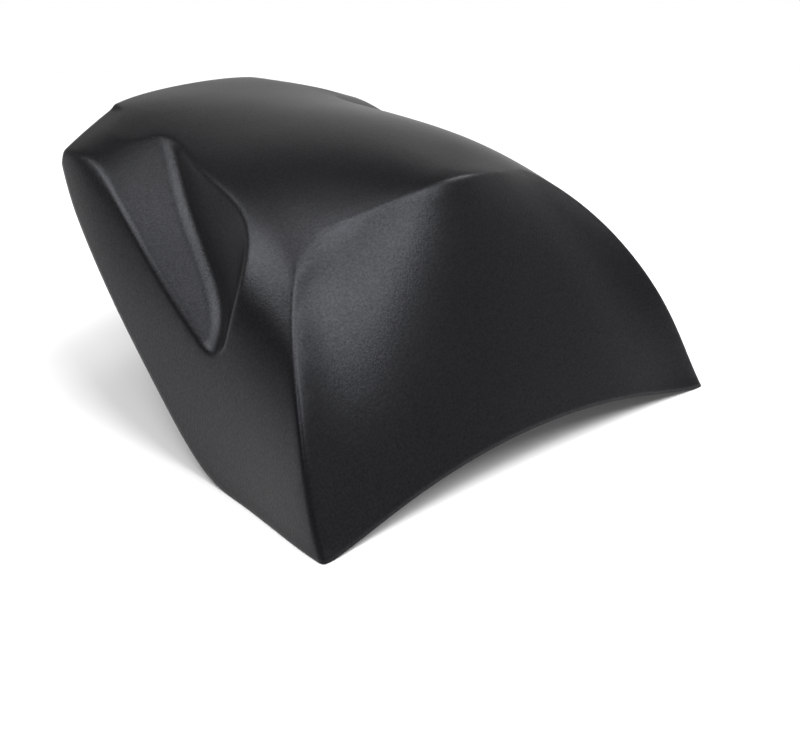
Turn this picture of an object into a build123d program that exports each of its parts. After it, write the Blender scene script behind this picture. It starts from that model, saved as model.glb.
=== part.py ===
from build123d import *
import os
from math import cos, radians, tan

# Seat cowl: a one-piece moulded shell that takes the place of a motorbike's rear seat.
# X runs across, Y from the front face back to the tail, Z up. The front corners and the
# heels of the side hems lie at z = 0. While it is shaped, y = 0 is at the front corners;
# at the end its origin moves under the middle of the finished shell.

# Driving dimensions, in millimetres and degrees
front_width = 260.0      # across the two front corners
length = 252.0           # front corners to the middle of the tail
crown_height = 137.5     # floor to the top of the roof
wall = 3.0               # thickness of the moulding
front_lean = 25.7        # how far the front face leans back
arch_height = 16.5       # rise of the front lower edge
arch_span = 250.0        # width of that arch
arch_set = 3.0           # how far back the middle of that edge stands
heel_y = 74.0            # where the side hem leaves the floor
tail_hem = 114.0         # height of the hem at the tail
tail_round = 47.0        # how far the tail's sides stand in front of its middle
shelf_tilt = 20.0        # how far the side shelf falls outwards
wall_draft = 19.3        # how far the wall above the shelf leans
valley_radius = 11.0     # hollow between the shelf and that wall
channel_radius = 5.0     # rounding of the edges of the two side channels
crease_radius = 2.2      # rounding of the edge round the front face
boss_spacing_x = 90.0    # screw bosses, across
boss_spacing_y = 80.0    # screw bosses, lengthwise
boss_middle_y = 130.0    # middle of the four bosses
boss_foot = 92.0         # height of the bosses' seats
boss_radius = 6.0
pilot_radius = 2.1       # for a 5 mm thread-forming screw
pilot_depth = 16.0
rib_thickness = 2.0
rib_level = 112.0        # height of the ribs' lower edges at the bosses' middle
rib_rise = 5.7           # slope of those edges, along with the roof

half_width = front_width / 2
lean = tan(radians(front_lean))
tilt = tan(radians(shelf_tilt))
draft = tan(radians(wall_draft))
beyond = 1.5             # how far tool shapes reach past the cowl, as a share of its size

# Sections of the body, front to tail. Each has its place along the length and the half
# section's control points from hem to crown, as shares of half_width and crown_height.
body_sections = [
    (-0.0482, [(1.01, -0.05), (1.005, 0.175), (0.955, 0.445), (0.755, 0.67), (0.40, 0.79), (0, 0.85)]),
    (0.1736, [(0.955, -0.05), (0.945, 0.205), (0.895, 0.505), (0.705, 0.69), (0.385, 0.783), (0, 0.93)]),
    (0.3954, [(0.895, -0.05), (0.89, 0.215), (0.875, 0.575), (0.69, 0.812), (0.375, 0.922), (0, 0.97)]),
    (0.6171, [(0.876, -0.05), (0.87, 0.31), (0.82, 0.738), (0.625, 0.873), (0.325, 0.966), (0, 1.002)]),
    (0.8389, [(0.83, -0.05), (0.785, 0.465), (0.745, 0.91), (0.57, 0.915), (0.325, 0.98), (0, 1.002)]),
    (1.0607, [(0.72, -0.05), (0.66, 0.475), (0.60, 0.905), (0.50, 0.90), (0.32, 0.95), (0, 0.983)]),
]

# Levels of the front face, bottom to top: height as a share of crown_height, half-width of
# the face as a share of half_width, how far its edge is swept back, and depth of its cove.
front_levels = [
    (-0.10, 1.01, -0.5, 1.0),
    (0.29, 0.95, 6.5, 2.5),
    (0.515, 0.85, 11.0, 3.0),
    (0.67, 0.72, 17.0, 2.0),
    (0.785, 0.56, 20.5, 0.0),
    (1.135, 0.50, 34.0, 0.0),
]
# Control points across that face: shares of its half-width, and of the cove's depth.
face_shares = [(1.3, -3.0), (1.05, -1.2), (0.85, 1.0), (0.6, 0.0), (0.3, 0.0), (0.0, 0.0)]

# Plan of the wall above the side shelf, tail to tip, as shares of half_width and length,
# at the height wall_top. It spreads by its draft down to wall_foot.
wall_plan = [
    (0.22, 1.109), (0.28, 0.916), (0.345, 0.723), (0.412, 0.608), (0.457, 0.486),
    (0.494, 0.403), (0.545, 0.354), (0.602, 0.325), (0.76, 0.29), (0.95, 0.275),
]
wall_top = 1.19
wall_foot = 0.36

# Side view of the shelf at shelf_place * half_width, tip to tail, as shares of length and
# crown_height. It runs out through the roof before the tail.
shelf_line = [
    (0.212, 0.335), (0.347, 0.456), (0.482, 0.579), (0.608, 0.697),
    (0.728, 0.796), (0.82, 0.846), (0.926, 0.834), (1.109, 0.80),
]
shelf_place = 0.77

# The hem from heel to tail, as shares of that run and of tail_hem.
hem_line = [(0.102, 0.03), (0.292, 0.25), (0.579, 0.623), (0.736, 0.807), (0.883, 1.0)]
hem_end_slope = 0.9

# The arch of the front lower edge: shares of half its span and of its height.
arch_shoulder = (0.645, 0.52)
arch_end_slope = 0.12

section_knots = [0, 0, 0, 0, 1, 2, 3, 4, 5, 6, 7, 8, 8, 8, 8]


def mirrored(half):
    """Control points of a whole section from those of its half, outside to middle."""
    return [(-x, v) for x, v in half] + [(x, v) for x, v in half[-2::-1]]


def body_volume(inset):
    """The smooth body before its front, tail and sides are cut, smaller by inset."""
    across = half_width - inset
    up = crown_height - inset
    with BuildPart() as volume:
        for share, half in body_sections:
            points = mirrored([(x * across, z * up) for x, z in half])
            with BuildSketch(Plane.XZ.offset(-share * length)):
                with BuildLine():
                    BSpline(points, section_knots, 3)
                    Line(points[-1], points[0])
                make_face()
        loft()
    return volume.part


def front_volume(inset):
    """Everything behind the front face: crowned, swept back and coved along its two sides."""
    far_x = beyond * half_width
    far_y = beyond * length
    with BuildPart() as volume:
        for height, width, sweep, cove in front_levels:
            z = height * crown_height
            middle = arch_set + (z - arch_height) * lean + inset / cos(radians(front_lean))
            half = []
            for share, part in face_shares:
                half.append((share * width * half_width, middle + sweep * share**2 + cove * part))
            points = mirrored(half)
            end_x, end_y = points[-1]
            with BuildSketch(Plane.XY.offset(z)):
                with BuildLine():
                    BSpline(points, section_knots, 3)
                    Polyline((end_x, end_y), (far_x, end_y), (far_x, far_y))
                    Line((far_x, far_y), (-far_x, far_y))
                    Polyline((-far_x, far_y), (-far_x, end_y), (-end_x, end_y))
                make_face()
        loft()
    return volume.part


def channel_volume(inset):
    """What is cut from the right side: outside the wall's plan and above the shelf."""
    drop = inset / cos(radians(shelf_tilt)) ** 2
    far_x = beyond * half_width
    far_z = beyond * crown_height
    with BuildPart() as volume:
        for height in (wall_top, wall_foot):
            out = (wall_top - height) * crown_height * draft - inset
            points = [(x * half_width + out, y * length - inset) for x, y in wall_plan]
            with BuildSketch(Plane.XY.offset(height * crown_height)):
                with BuildLine():
                    edge = Spline(*points)
                    Polyline(edge @ 1, (far_x, points[-1][1]), (far_x, points[0][1]), edge @ 0)
                make_face()
        loft(ruled=True)
        rise = tilt * shelf_place * half_width - drop
        points = [(y * length, z * crown_height + rise) for y, z in shelf_line]
        with BuildSketch(Plane.YZ):
            with BuildLine():
                edge = Spline(*points)
                Polyline(edge @ 1, (points[-1][0], far_z), (points[0][0], far_z), edge @ 0)
            make_face()
        extrude(amount=2 * far_x, dir=(1, 0, -tilt), mode=Mode.INTERSECT)
        shelf = volume.faces().filter_by(GeomType.EXTRUSION)
        rising_wall = volume.faces().filter_by(GeomType.BSPLINE).sort_by(Axis.X)[0]
        fillet(shelf.edges() & rising_wall.edges(), valley_radius + inset)
    return volume.part


def cowl_volume(inset):
    """The whole cowl as a block with its hem still uncut, smaller by inset all round."""
    body = body_volume(inset)
    front = front_volume(inset)
    channel = channel_volume(inset)
    end_y = length - inset
    side_y = end_y - tail_round
    far_y = beyond * length
    with BuildPart() as volume:
        add(body)
        add(front, mode=Mode.INTERSECT)
        with BuildSketch(Plane.XY):
            with BuildLine():
                back = ThreePointArc((-half_width, side_y), (0, end_y), (half_width, side_y))
                Polyline(back @ 1, (half_width, far_y), (-half_width, far_y), back @ 0)
            make_face()
        extrude(amount=beyond * crown_height, both=True, mode=Mode.SUBTRACT)
        add(channel, mode=Mode.SUBTRACT)
        mirror(channel, about=Plane.YZ, mode=Mode.SUBTRACT)
    return volume.part


block = cowl_volume(0)
hollow = cowl_volume(wall)

# Stiffening ribs under the roof: one lengthwise and one crosswise through each pair of
# bosses, with their lower edges in one plane that climbs with the roof.
with BuildPart() as ribs:
    with BuildSketch(Plane.XY):
        with Locations((0, boss_middle_y)):
            with GridLocations(boss_spacing_x, 0, 2, 1):
                Rectangle(rib_thickness, 2 * length)
            with GridLocations(0, boss_spacing_y, 1, 2):
                Rectangle(front_width, rib_thickness)
    extrude(amount=beyond * crown_height)
    climb = (0, -tan(radians(rib_rise)), 1)
    edge_plane = Plane((0, boss_middle_y, rib_level), x_dir=(1, 0, 0), z_dir=climb)
    split(bisect_by=edge_plane, keep=Keep.TOP)

# The mould's core: the hollow, less the ribs and the screw bosses that stand in it.
with BuildPart() as core:
    add(hollow)
    add(ribs.part, mode=Mode.SUBTRACT)
    with BuildSketch(Plane.XY.offset(boss_foot)):
        with Locations((0, boss_middle_y)):
            with GridLocations(boss_spacing_x, boss_spacing_y, 2, 2):
                Circle(boss_radius)
    extrude(amount=crown_height, mode=Mode.SUBTRACT)

with BuildPart() as shaped:
    add(block)
    skin = shaped.faces().sort_by(Axis.Z)[-1]
    channels = shaped.faces().filter_by(lambda face: abs(face.center().X) > wall)
    fillet(skin.edges() & channels.edges(), channel_radius)
    front = shaped.faces().sort_by(Axis.Y)[0]
    skin = shaped.faces().sort_by(Axis.Z)[-1]
    fillet(front.edges() & skin.edges(), crease_radius)
    add(core.part, mode=Mode.SUBTRACT)

    # The hem: level to the heels, then rising to the tail.
    run = length - heel_y
    far_y = beyond * length
    with BuildSketch(Plane.YZ):
        with BuildLine():
            floor = Line((-length, 0), (heel_y, 0))
            points = [(heel_y + y * run, z * tail_hem) for y, z in hem_line]
            hem = Spline(floor @ 1, *points, tangents=((1, 0), (1, hem_end_slope)))
            Polyline(hem @ 1, (far_y, tail_hem), (far_y, -length), (-length, -length), floor @ 0)
        make_face()
    extrude(amount=beyond * half_width, both=True, mode=Mode.SUBTRACT)

    # The arch of the front lower edge, cut through the front wall alone.
    arch_x = arch_span / 2
    shoulder_x = arch_shoulder[0] * arch_x
    shoulder_z = arch_shoulder[1] * arch_height
    with BuildSketch(Plane.XZ.offset(-arch_set)):
        with BuildLine():
            arch = Spline(
                (-arch_x, 0), (-shoulder_x, shoulder_z), (0, arch_height), (shoulder_x, shoulder_z), (arch_x, 0),
                tangents=((1, arch_end_slope), (1, -arch_end_slope)),
            )
            Line(arch @ 1, arch @ 0)
        make_face()
    extrude(amount=5 * wall, both=True, mode=Mode.SUBTRACT)

    # Pilot holes up into the bosses.
    with Locations(Plane((0, boss_middle_y, boss_foot), z_dir=(0, 0, -1))):
        with GridLocations(boss_spacing_x, boss_spacing_y, 2, 2):
            Hole(pilot_radius, pilot_depth)

# The origin moves to the floor under the middle of the shell.
box = shaped.part.bounding_box()
with BuildPart() as cowl_shell:
    add(shaped.part.moved(Location((0, -box.center().Y, -box.min.Z))))
cowl_shell.part.label = "cowl_shell"

os.makedirs("parts", exist_ok=True)
export_step(cowl_shell.part, "parts/cowl_shell.step")
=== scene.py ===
# %% [markdown]
# A seat cowl is the hard cover that takes the place of a motorbike's rear seat. This one is
# a single moulding in satin black. Its solid was built to size in the CAD model, so this
# lesson starts by loading that model as a fixed frame: one unit is one metre, the floor is
# at zero height, the front face looks along -Y and the tail points along +Y.

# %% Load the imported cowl
import math
import bpy
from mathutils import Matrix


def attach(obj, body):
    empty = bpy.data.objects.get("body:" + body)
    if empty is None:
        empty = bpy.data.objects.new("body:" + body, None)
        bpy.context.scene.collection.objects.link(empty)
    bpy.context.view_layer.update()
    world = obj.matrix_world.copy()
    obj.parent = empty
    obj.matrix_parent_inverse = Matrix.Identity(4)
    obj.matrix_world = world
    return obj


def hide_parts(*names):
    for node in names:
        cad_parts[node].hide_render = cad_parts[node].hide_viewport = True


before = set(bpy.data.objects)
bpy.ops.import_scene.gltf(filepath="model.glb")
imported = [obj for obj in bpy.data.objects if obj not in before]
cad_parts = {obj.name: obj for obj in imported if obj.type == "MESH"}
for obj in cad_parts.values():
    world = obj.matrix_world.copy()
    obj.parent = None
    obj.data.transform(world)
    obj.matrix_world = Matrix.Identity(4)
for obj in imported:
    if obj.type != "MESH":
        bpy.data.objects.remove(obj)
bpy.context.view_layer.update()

# %% [markdown]
# The real cowl leaves the mould with smooth skins and small rounded edges. The CAD mesh is
# a set of loose triangles, and each would catch the light as its own flat facet. A new mesh
# could be drawn by hand, but its form would only come near the solid. So a copy of the
# solid's mesh is welded into one skin, which keeps the form.

# %% Weld a copy of the shell
weld_gap = 0.000002
sharp_angle = math.radians(32)

shell_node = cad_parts["cowl_shell"]
bpy.ops.object.select_all(action="DESELECT")
cowl = bpy.data.objects.new("cowl_skin", shell_node.data.copy())
bpy.context.scene.collection.objects.link(cowl)
cowl.select_set(True)
bpy.context.view_layer.objects.active = cowl
bpy.ops.object.mode_set(mode="EDIT")
bpy.ops.mesh.select_all(action="SELECT")
bpy.ops.mesh.remove_doubles(threshold=weld_gap)
bpy.ops.object.mode_set(mode="OBJECT")
bpy.ops.mesh.customdata_custom_splitnormals_clear()
bpy.ops.object.shade_smooth_by_angle(angle=sharp_angle)
print("welded skin:", len(cowl.data.vertices), "points,", len(cowl.data.polygons), "faces")

# %% [markdown]
# The finish is black paint with a satin clear coat over moulded plastic. Such paint is never
# one even value: a fine grain from the spray sparkles in the light, and the gloss drifts a
# little over the panel. Noise on Object coordinates gives both, because it stays in place on
# the part. A thick coat also fills the edges a little. A Bevel node a bit smaller than the
# 3 mm wall gives that look, but only in the shading: the skin's edges stay as they are.

# %% Satin black paint
paint = bpy.data.materials.new("satin_black_paint")
paint.use_nodes = True
nodes = paint.node_tree.nodes
links = paint.node_tree.links
shader = nodes["Principled BSDF"]
place = nodes.new("ShaderNodeTexCoord")

drift = nodes.new("ShaderNodeTexNoise")
drift.inputs["Scale"].default_value = 14.0
drift.inputs["Detail"].default_value = 3.0
links.new(place.outputs["Object"], drift.inputs["Vector"])
gloss = nodes.new("ShaderNodeMapRange")
gloss.inputs["From Min"].default_value = 0.3
gloss.inputs["From Max"].default_value = 0.7
gloss.inputs["To Min"].default_value = 0.33
gloss.inputs["To Max"].default_value = 0.37
links.new(drift.outputs["Fac"], gloss.inputs["Value"])
links.new(gloss.outputs["Result"], shader.inputs["Roughness"])

grain = nodes.new("ShaderNodeTexNoise")
grain.inputs["Scale"].default_value = 900.0
grain.inputs["Detail"].default_value = 2.0
links.new(place.outputs["Object"], grain.inputs["Vector"])
tint = nodes.new("ShaderNodeMix")
tint.data_type = "RGBA"
tint.inputs["A"].default_value = (0.0018, 0.0018, 0.002, 1.0)
tint.inputs["B"].default_value = (0.0032, 0.0032, 0.0036, 1.0)
links.new(grain.outputs["Fac"], tint.inputs["Factor"])
links.new(tint.outputs["Result"], shader.inputs["Base Color"])
relief = nodes.new("ShaderNodeBump")
relief.inputs["Strength"].default_value = 0.3
relief.inputs["Distance"].default_value = 0.0002
links.new(grain.outputs["Fac"], relief.inputs["Height"])
soft = nodes.new("ShaderNodeBevel")
soft.samples = 8
soft.inputs["Radius"].default_value = 0.0027
links.new(soft.outputs["Normal"], relief.inputs["Normal"])
links.new(relief.outputs["Normal"], shader.inputs["Normal"])
sparkle = nodes.new("ShaderNodeMapRange")
sparkle.inputs["From Min"].default_value = 0.3
sparkle.inputs["From Max"].default_value = 0.7
sparkle.inputs["To Min"].default_value = 0.155
sparkle.inputs["To Max"].default_value = 0.235
links.new(grain.outputs["Fac"], sparkle.inputs["Value"])
links.new(sparkle.outputs["Result"], shader.inputs["Specular IOR Level"])
shader.inputs["Specular Tint"].default_value = (0.88, 0.91, 1.0, 1.0)
cowl.data.materials.clear()
cowl.data.materials.append(paint)
print("paint made:", len(nodes), "nodes")

# %% [markdown]
# The skin now stands for the CAD solid: it rides on the same body, and the solid itself is
# kept out of sight for the physics.

# %% Put the skin in the solid's place
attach(cowl, "root")
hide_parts("cowl_shell")
print("skin stands for the shell")

# %% [markdown]
# The photograph's background is pure white with one soft shadow. Here a matt grey floor gets
# that shadow, and the lamps are strong enough to show the rest of it as white. The room is
# white to the camera. To reflections it is white near the horizon and dark above, as a studio
# with a black ceiling is, and it gives the floor a little even light. A white ceiling would
# also work, but then every part of the paint looks grey.

# %% Floor and white surroundings
floor_radius = 0.8
floor_height = -0.0005
even_light = 0.3

bpy.ops.object.select_all(action="DESELECT")
bpy.ops.mesh.primitive_circle_add(
    vertices=96, radius=floor_radius, fill_type="NGON", location=(0, 0, floor_height))
floor = bpy.context.active_object
floor.name = "paper_floor"
bpy.ops.object.transform_apply(location=True, rotation=True, scale=True)
paper = bpy.data.materials.new("floor_paper")
paper.use_nodes = True
nodes = paper.node_tree.nodes
links = paper.node_tree.links
sheet = nodes["Principled BSDF"]
sheet.inputs["Base Color"].default_value = (0.65, 0.65, 0.65, 1.0)
sheet.inputs["Roughness"].default_value = 0.9
sheet.inputs["Specular IOR Level"].default_value = 0.0
sheet.inputs["Emission Color"].default_value = (1.0, 1.0, 1.0, 1.0)
seen = nodes.new("ShaderNodeLightPath")
either = nodes.new("ShaderNodeMath")
either.operation = "MAXIMUM"
links.new(seen.outputs["Is Camera Ray"], either.inputs[0])
links.new(seen.outputs["Is Glossy Ray"], either.inputs[1])
any_of = nodes.new("ShaderNodeMath")
any_of.operation = "MAXIMUM"
links.new(either.outputs["Value"], any_of.inputs[0])
links.new(seen.outputs["Is Transmission Ray"], any_of.inputs[1])
glow = nodes.new("ShaderNodeMath")
glow.operation = "MULTIPLY"
glow.inputs[1].default_value = 0.06
links.new(any_of.outputs["Value"], glow.inputs[0])
links.new(glow.outputs["Value"], sheet.inputs["Emission Strength"])
floor.data.materials.append(paper)

world = bpy.data.worlds.new("white_room")
bpy.context.scene.world = world
world.use_nodes = True
nodes = world.node_tree.nodes
links = world.node_tree.links
room = nodes["Background"]
room.inputs["Color"].default_value = (1.0, 1.0, 1.0, 1.0)
seen = nodes.new("ShaderNodeLightPath")
mirrored = nodes.new("ShaderNodeMath")
mirrored.operation = "MAXIMUM"
links.new(seen.outputs["Is Glossy Ray"], mirrored.inputs[0])
links.new(seen.outputs["Is Transmission Ray"], mirrored.inputs[1])
way = nodes.new("ShaderNodeTexCoord")
axes = nodes.new("ShaderNodeSeparateXYZ")
links.new(way.outputs["Generated"], axes.inputs["Vector"])
fade = nodes.new("ShaderNodeMapRange")
fade.interpolation_type = "SMOOTHSTEP"
fade.inputs["From Min"].default_value = 0.02
fade.inputs["From Max"].default_value = 0.4
fade.inputs["To Min"].default_value = 1.0
fade.inputs["To Max"].default_value = 0.04
links.new(axes.outputs["Z"], fade.inputs["Value"])
horizon = nodes.new("ShaderNodeMath")
horizon.operation = "MULTIPLY"
links.new(mirrored.outputs["Value"], horizon.inputs[0])
links.new(fade.outputs["Result"], horizon.inputs[1])
white = nodes.new("ShaderNodeMath")
white.operation = "MAXIMUM"
links.new(seen.outputs["Is Camera Ray"], white.inputs[0])
links.new(horizon.outputs["Value"], white.inputs[1])
level = nodes.new("ShaderNodeMath")
level.operation = "MULTIPLY_ADD"
level.inputs[1].default_value = even_light
links.new(seen.outputs["Is Diffuse Ray"], level.inputs[0])
links.new(white.outputs["Value"], level.inputs[2])
links.new(level.outputs["Value"], room.inputs["Strength"])
print("floor and room made")

# %% [markdown]
# Black paint shows its form only by what it mirrors, so each soft box stands where one part
# of the skin mirrors it: the front box in the face, the shoulder box beside the scoop, the
# edge box along the crease, the overhead box on the scoop's shelf and the back box in the
# roof. The corner box adds to the crease's lower end, and the right and side boxes show the
# parts turned away. The places were found by mirroring the line of sight at points on the
# photograph's highlights, then adjusted. Together these lamps are well above a plain
# light level, and the paint's mirror strength is set low to suit. Under weaker lamps it has
# to be raised.

# %% Soft boxes
middle = (0.0, 0.0, 0.06)
lamp_distance = 1.5


def soft_box(name, turn, height, wide, high, watts):
    """A lamp aimed at the cowl: turn in degrees from the front to the right, height in degrees."""
    data = bpy.data.lights.new(name, "AREA")
    data.shape = "RECTANGLE"
    data.size = wide
    data.size_y = high
    data.energy = watts
    lamp = bpy.data.objects.new(name, data)
    bpy.context.scene.collection.objects.link(lamp)
    a = math.radians(turn)
    e = math.radians(height)
    way = (math.cos(e) * math.sin(a), -math.cos(e) * math.cos(a), math.sin(e))
    lamp.location = [m + lamp_distance * w for m, w in zip(middle, way)]
    lamp.rotation_euler = (math.pi / 2 - e, 0, a)
    print(name, watts, "W")


soft_box("front_box", 24, 43, 0.4, 0.6, 11.5)
soft_box("shoulder_box", 219, 53, 0.5, 0.9, 14.0)
soft_box("edge_box", 350, 69, 0.7, 0.7, 20.0)
soft_box("overhead_box", 155, 78, 0.5, 0.5, 4.5)
soft_box("corner_box", 312, 44, 0.4, 0.4, 6.0)
soft_box("back_box", 142, 26, 1.0, 0.5, 0.9)
soft_box("right_box", 66, 38, 0.4, 0.4, 2.4)
soft_box("side_box", 88, 40, 0.5, 0.5, 5.0)

# %% [markdown]
# The camera stands to the left of the front, a little above, as the photograph's did. Its
# place was solved from the two front corners and the symmetry of the part.

# %% Camera
eye = bpy.data.cameras.new("studio_camera")
eye.sensor_width = 36.0
eye.lens = 72.0
camera = bpy.data.objects.new("studio_camera", eye)
bpy.context.scene.collection.objects.link(camera)
camera.location = (-0.5076, -0.54878, 0.3209)
camera.rotation_euler = (math.radians(67.5), 0, math.radians(-44.846))
bpy.context.scene.camera = camera
bpy.context.scene.view_settings.view_transform = "Standard"
print("camera at", [round(v, 4) for v in camera.location])
